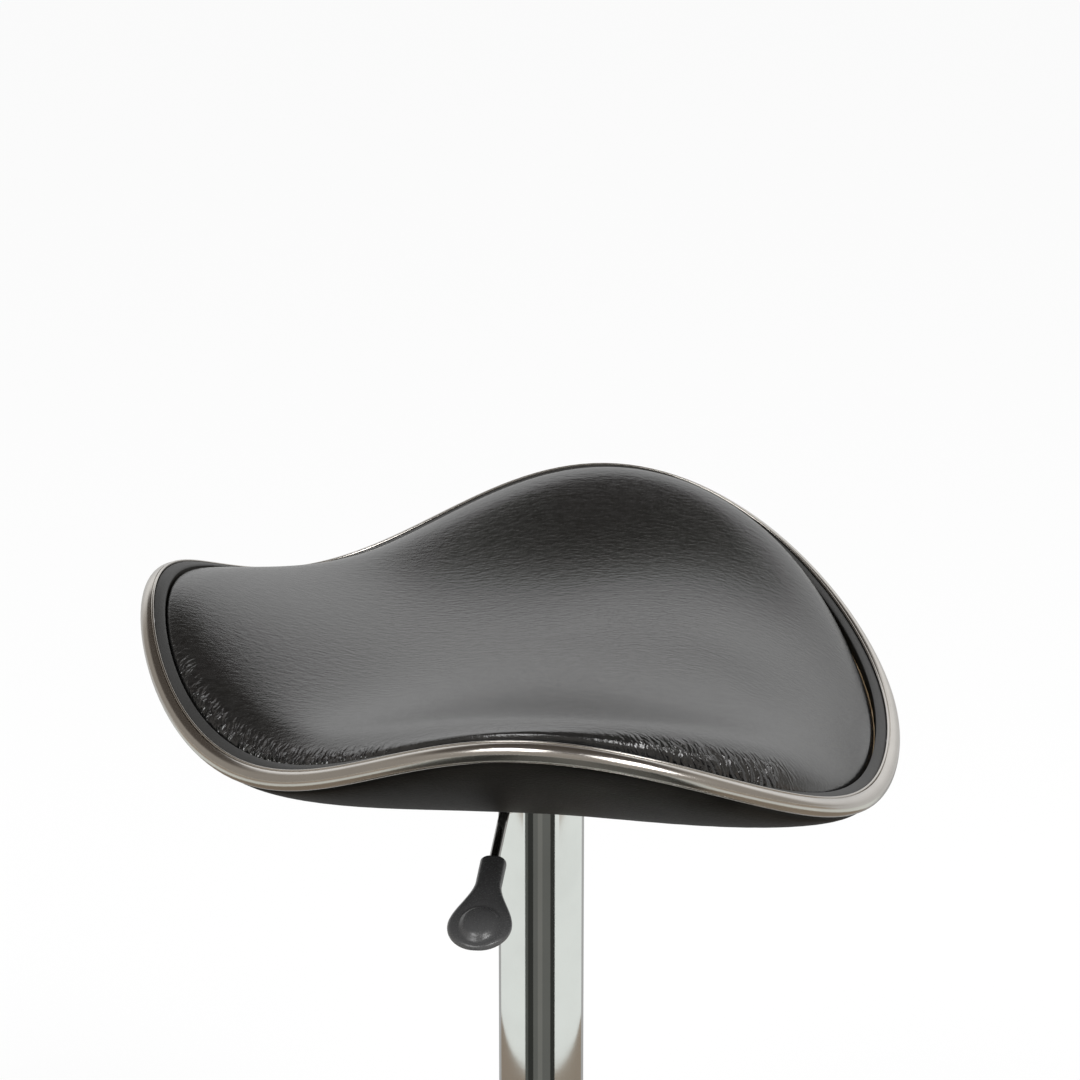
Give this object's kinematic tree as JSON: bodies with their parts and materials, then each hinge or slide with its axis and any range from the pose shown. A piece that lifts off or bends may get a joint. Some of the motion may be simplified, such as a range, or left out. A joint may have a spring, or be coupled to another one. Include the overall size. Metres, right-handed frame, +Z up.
{
  "type": "bar stool",
  "caption": "Height-adjustable swivel bar stool: padded saddle seat in a moulded shell with chrome edge trim, gas-lift column with release lever, looped footrest and round trumpet base.",
  "frame": {"origin": "on the floor, on the column's axis", "axes": "+Z up along the column, +X towards the seat's drooping front edge, which the sitter faces; the release lever is on -Y, under the sitter's right hand"},
  "size_m": [0.4506, 0.4732, 0.6426],
  "materials": {
    "leatherette": "black grained leatherette with a soft sheen",
    "moulded": "black moulded plastic, fine grain",
    "handle": "black moulded plastic, satin",
    "chrome": "polished chrome plate",
    "black_steel": "black powder coat",
    "bright_steel": "ground bright steel",
    "plywood": "raw moulded plywood",
    "acetal": "natural acetal",
    "rubber": "black rubber",
    "iron": "rough cast iron"
  },
  "bodies": {
    "stand": {"stand_tube": "chrome", "guide_bush": "acetal", "bearing_race_lower": "bright_steel", "base_cover": "chrome", "base_foot_ring": "rubber", "base_ballast": "iron", "base_hub": "black_steel", "base_neck_ring": "chrome", "hub_bolt_1": "bright_steel", "hub_bolt_2": "bright_steel", "hub_bolt_3": "bright_steel", "hub_bolt_4": "bright_steel", "footrest_loop": "chrome", "footrest_collar": "chrome", "collar_screw_1": "black_steel", "collar_screw_2": "black_steel"},
    "piston": {"piston_rod": "bright_steel", "piston_head": "acetal", "retaining_clip": "bright_steel", "bearing_race_upper": "bright_steel", "bearing_balls": "bright_steel", "bump_stop": "rubber"},
    "seat": {"seat_cushion": "leatherette", "seat_board": "plywood", "seat_shell": "moulded", "edge_trim": "chrome", "seat_plate": "black_steel", "taper_socket": "black_steel", "lever_bracket": "black_steel", "plate_screw_1": "black_steel", "plate_screw_2": "black_steel", "plate_screw_3": "black_steel", "plate_screw_4": "black_steel", "tee_nut_1": "bright_steel", "tee_nut_2": "bright_steel", "tee_nut_3": "bright_steel", "tee_nut_4": "bright_steel", "pressure_tube": "chrome", "rod_seal": "rubber"},
    "lever": {"lever_rod": "black_steel", "lever_paddle": "handle", "lever_bush": "acetal"},
    "pin": {"release_pin": "bright_steel"}
  },
  "joints": [
    {"name": "seat_swivel", "type": "hinge", "parent": "stand", "child": "piston", "pos_m": [0, 0, 0], "axis": [0, 0, 1], "continuous": true},
    {"name": "seat_height", "type": "slide", "parent": "piston", "child": "seat", "axis": [0, 0, 1], "range_m": [0, 0.2]},
    {"name": "lever_lift", "type": "hinge", "parent": "seat", "child": "lever", "pos_m": [-0.015, -0.052, 0.5249], "axis": [-0.9991, 0.0419, 0], "range_deg": [0, 6], "stiffness_Nm_per_rad": 1.5},
    {"name": "pin_press", "type": "slide", "parent": "seat", "child": "pin", "axis": [0, 0, -1], "range_m": [0, 0.0056]}
  ],
  "couplings": [
    {"joint": "pin_press", "follows": "lever_lift", "m_per_rad": 0.052}
  ]
}
